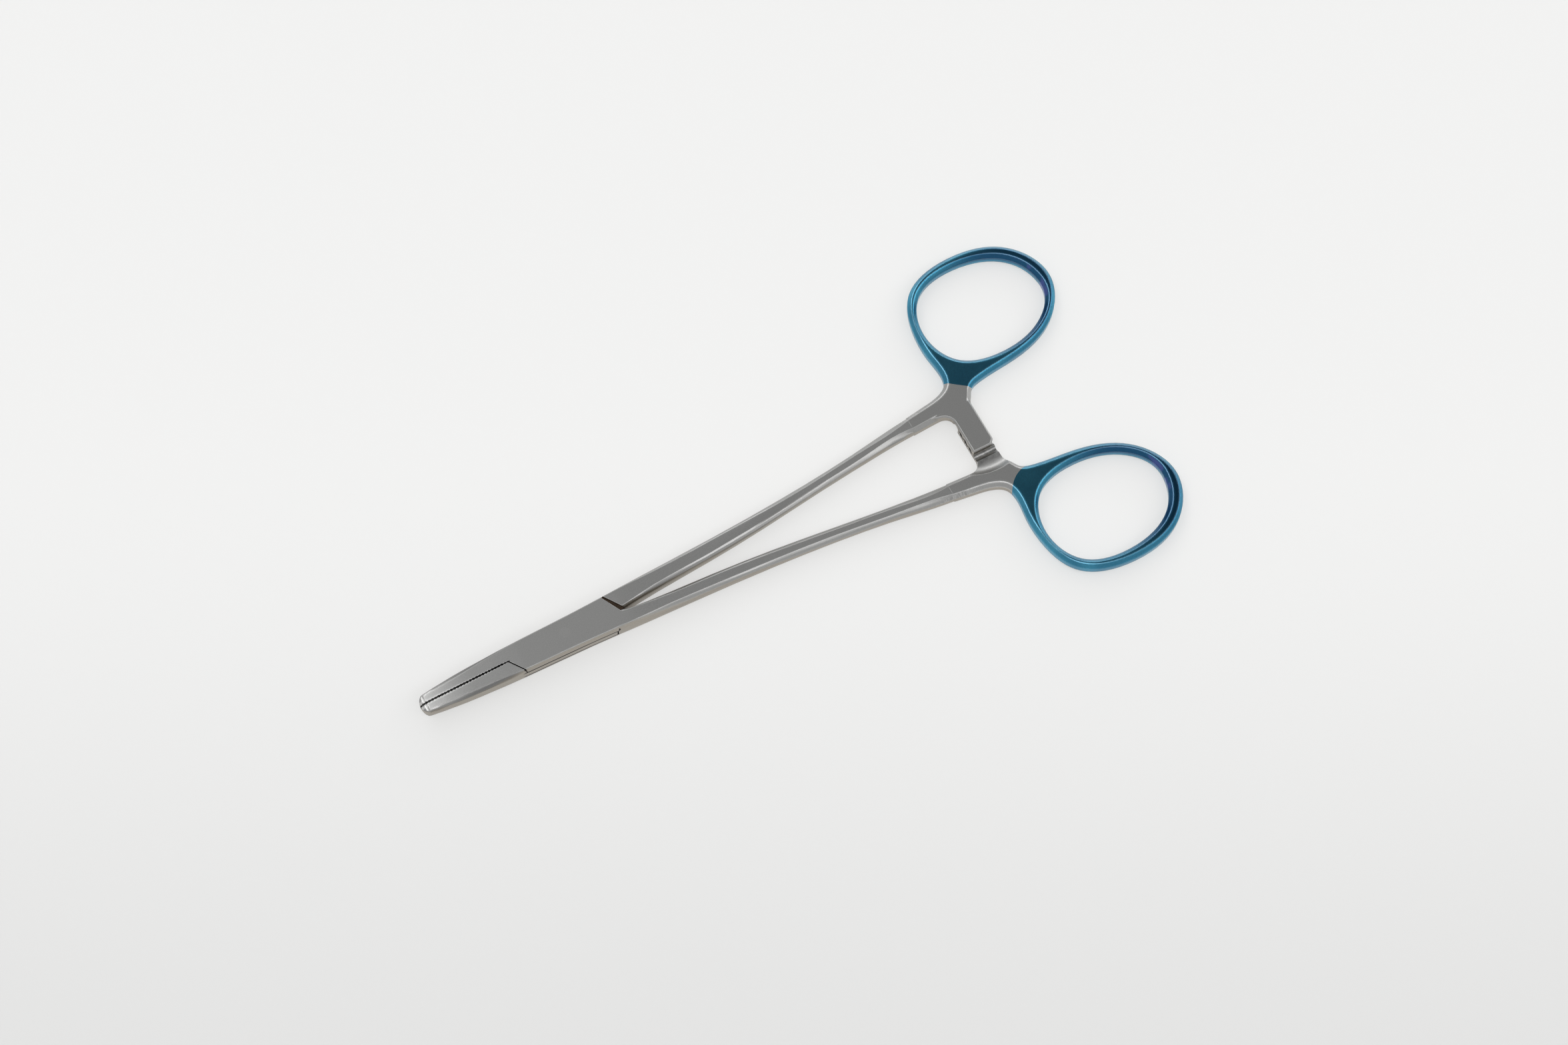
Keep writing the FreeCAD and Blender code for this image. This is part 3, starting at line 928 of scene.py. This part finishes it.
@dataclass(frozen=True)
class Piece:
    """One rigid piece: a merged copy of its solid with smooth curves and flat faces, and its finish.

    Args:
        node: The solid that it stands for.
        body: The body that it rides on.
        slot: The record's material slot. Not used.
        finish: Its finish.
        weld: How near two corners lie that are merged, in millimetres.
        flat_angle: The angle in degrees up to which neighbouring faces are one.
        sharp_angle: The angle in degrees from which an edge stays sharp.
        box_top: Height of the box's top face.
        seam_step: The greatest height of the small step in that face where the shank joins it.
        seam_start: Where the step begins.
        seam_end: How far back it reaches.
        groove: The groove beside that joint, or None for a piece without one.
    """

    node: str
    body: str
    slot: str
    finish: SteelFinish
    weld: float = 0.003
    flat_angle: float = 0.5
    sharp_angle: float = 16.0
    box_top: float = 4.2
    seam_step: float = 0.03
    seam_start: float = 9.0
    seam_end: float = 13.2
    groove: Groove | None = None

    def level_seam(self, shape: bmesh.types.BMesh) -> None:
        """Levels the small step and groove between box and shank, which the real forging doesn't have.

        Args:
            shape: The merged copy of the solid.
        """
        top = self.box_top * MM
        if self.groove is not None:
            bmesh.ops.bisect_plane(shape, geom=[*shape.verts, *shape.edges, *shape.faces],
                                   plane_co=(self.groove.end * MM, 0.0, 0.0), plane_no=(1.0, 0.0, 0.0))
        for corner in shape.verts:
            place = corner.co
            depth = min(abs(place.z), abs(place.z - top)) / MM
            on_step = self.seam_start < place.x / MM < self.seam_end and depth < self.seam_step
            in_groove = self.groove is not None and self.groove.holds(place.x / MM, place.y / MM, depth)
            if on_step or in_groove:
                place.z = top if place.z > top / 2 else 0.0

    def build(self, frame: dict) -> bpy.types.Object:
        """Makes the piece from its solid.


        Returns:
            The piece.
        """
        shape = bmesh.new()
        shape.from_mesh(frame["nodes"][self.node].data)
        bmesh.ops.remove_doubles(shape, verts=shape.verts, dist=self.weld * MM)
        self.level_seam(shape)
        bmesh.ops.dissolve_degenerate(shape, dist=self.weld * MM, edges=shape.edges)
        bmesh.ops.dissolve_limit(shape, angle_limit=math.radians(self.flat_angle), verts=shape.verts,
                                 edges=shape.edges)
        mesh = bpy.data.meshes.new(self.node + "_finished")
        shape.to_mesh(mesh)
        shape.free()
        mesh.shade_smooth()
        mesh.set_sharp_from_angle(angle=math.radians(self.sharp_angle))
        piece = bpy.data.objects.new(self.node + "_finished", mesh)
        bpy.context.scene.collection.objects.link(piece)
        weighted = piece.modifiers.new("flat_faces_stay_flat", "WEIGHTED_NORMAL")
        weighted.keep_sharp = True
        weighted.weight = 100
        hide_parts(self.node)
        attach(piece, self.body)
        return piece

    def dress(self, piece: bpy.types.Object) -> None:
        """Gives the piece its finish.

        Args:
            piece: What build() gave.
        """
        piece.data.materials.append(self.finish.make())
        LOG.info("%s: %d faces, dressed in %s", piece.name, len(piece.data.polygons), self.finish.name)


@dataclass(frozen=True)
class Studio:
    """The pale floor and the soft sky of the studio.

    Args:
        view: Where the photograph was taken from.
        floor_colour: Colour of the floor.
        floor_roughness: Its roughness.
        floor_light: Colour of its own light.
        floor_glow: How strong that light is, at the near and the far end of the view.
        glow_depths: Where these ends are, in millimetres beyond the centre of the view.
        floor_size: Its side length in millimetres.
        sky_level: Brightness of the sky.
        dark_level: Brightness of the dark patch that the top faces mirror.
        dark_right: How far to the right of the mirror direction the patch lies, as a slope.
        dark_angles: Its inner and outer radius in degrees.
        band_level: Brightness of the band round the patch that draws the light lines on the edges.
        band_angles: The band's inner and outer radius in degrees.
        band_softness: How soft its borders are, in degrees.
    """

    view: PhotoView
    floor_colour: Colour = (0.33, 0.33, 0.327)
    floor_roughness: float = 0.8
    floor_light: Colour = (1.0, 1.0, 0.992)
    floor_glow: Span = (0.405, 0.53)
    glow_depths: Span = (-140.0, 20.0)
    floor_size: float = 6000.0
    sky_level: float = 0.8
    dark_level: float = 0.15
    dark_right: float = 0.24
    dark_angles: Span = (7.0, 30.0)
    band_level: float = 4.5
    band_angles: Span = (44.0, 54.0)
    band_softness: float = 5.0

    def make_floor(self) -> bpy.types.Object:
        """Adds the floor on which the instrument rests.

        Returns:
            The floor.
        """
        bpy.ops.mesh.primitive_plane_add(size=self.floor_size * MM)
        floor = bpy.context.object
        floor.name = "floor"
        floor.matrix_world = self.view.seat()
        material = bpy.data.materials.new("pale_floor")
        material.use_nodes = True
        sheet = NodeSheet(material.node_tree)
        output = sheet.add("ShaderNodeOutputMaterial")
        shader = sheet.add("ShaderNodeBsdfPrincipled")
        sheet.join(shader.outputs[0], output.inputs["Surface"])
        shader.inputs["Base Color"].default_value = (*self.floor_colour, 1.0)
        shader.inputs["Roughness"].default_value = self.floor_roughness
        shader.inputs["Emission Color"].default_value = (*self.floor_light, 1.0)
        place = sheet.add("ShaderNodeSeparateXYZ")
        sheet.join(sheet.add("ShaderNodeTexCoord").outputs["Object"], place.inputs[0])
        away, target = self.view.away(), self.view.target()
        depth = sheet.weighted(place.outputs[0], away.x, place.outputs[1], away.y)
        depth = sheet.math("SUBTRACT", depth, target.dot(away) * MM)
        near, far = self.glow_depths
        glow = sheet.ramp(depth, near * MM, far * MM, *self.floor_glow)
        sheet.join(glow, shader.inputs["Emission Strength"])
        floor.data.materials.append(material)
        return floor

    def make_sky(self) -> None:
        """Sets a bright soft sky with a dark patch where the camera sees the top faces mirror it."""
        world = bpy.data.worlds.new("studio")
        bpy.context.scene.world = world
        world.use_nodes = True
        sheet = NodeSheet(world.node_tree)
        rise = math.radians(self.view.elevation)
        patch = (self.view.away() * math.cos(rise) + Vector((0.0, 0.0, math.sin(rise)))
                 + self.view.right() * self.dark_right).normalized()
        facing = sheet.add("ShaderNodeVectorMath", operation="DOT_PRODUCT")
        sheet.join(sheet.add("ShaderNodeTexCoord").outputs["Generated"], facing.inputs[0])
        facing.inputs[1].default_value = patch
        angle = sheet.math("ARCCOSINE", sheet.math("MINIMUM", facing.outputs["Value"], 1.0))
        inner, outer = (math.radians(degrees) for degrees in self.dark_angles)
        level = sheet.ramp(angle, inner, outer, self.dark_level, self.sky_level)
        near, far = (math.radians(degrees) for degrees in self.band_angles)
        soft = math.radians(self.band_softness)
        extra = self.band_level - self.sky_level
        band = sheet.math("MULTIPLY", sheet.ramp(angle, near - soft, near + soft),
                          sheet.ramp(angle, far - soft, far + soft, extra, 0.0))
        sky = sheet.add("ShaderNodeBackground")
        sheet.join(sheet.math("ADD", level, band), sky.inputs["Strength"])
        output = sheet.add("ShaderNodeOutputWorld")
        sheet.join(sky.outputs[0], output.inputs["Surface"])

    def build(self) -> None:
        """Builds the whole studio and the camera."""
        bpy.context.scene.view_settings.view_transform = "Standard"
        self.make_floor()
        self.make_sky()
        self.view.make_camera()


def main() -> None:
    """Builds the studio and the instrument's three pieces in order."""
    logging.basicConfig(level=logging.INFO)
    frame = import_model()
    Studio(PhotoView()).build()
    box_coat = BlueCoat(CoatEdge((94.9, 15.0), (100.0, 10.9), 0.75))
    tongue_coat = BlueCoat(CoatEdge((94.7, 13.8), (99.6, 10.1), 0.1))
    # Joint lines of the jaws and the shoulder, painted dark as the shade in their gaps.
    joint_lines = (
        Crevice((-33.0, 0.0), (-12.5, 0.0), 0.34, rim=0.5, line=0.09, tooth=0.1),
        Crevice((-12.85, 0.0), (-10.5, -3.3), 0.2, rim=0.5, line=0.09),
    )
    # The gap behind the box, its walls and floor painted brownish dark as shade.
    rear_gap = Crevice((12.6, -0.75), (9.8, 4.4), 0.75, (0.085, 0.062, 0.045), with_floor=True)
    crevices = (*joint_lines, rear_gap)
    box_finish = SteelFinish("box_half_steel", crevices=crevices, coat=box_coat, hand=Hand.LOWER)
    tongue_finish = SteelFinish("tongue_half_steel", crevices=crevices, coat=tongue_coat)
    pin_finish = SteelFinish("pivot_pin_steel", steel=(0.405, 0.405, 0.398))
    pieces = [
        Piece("box_half", "box_side", "satin_steel", box_finish, groove=Groove()),
        Piece("tongue_half", "tongue_side", "satin_steel", tongue_finish),
        Piece("pivot_pin", "box_side", "pin_steel", pin_finish),
    ]
    for piece in pieces:
        piece.dress(piece.build(frame))


if __name__ == "__main__":
    main()
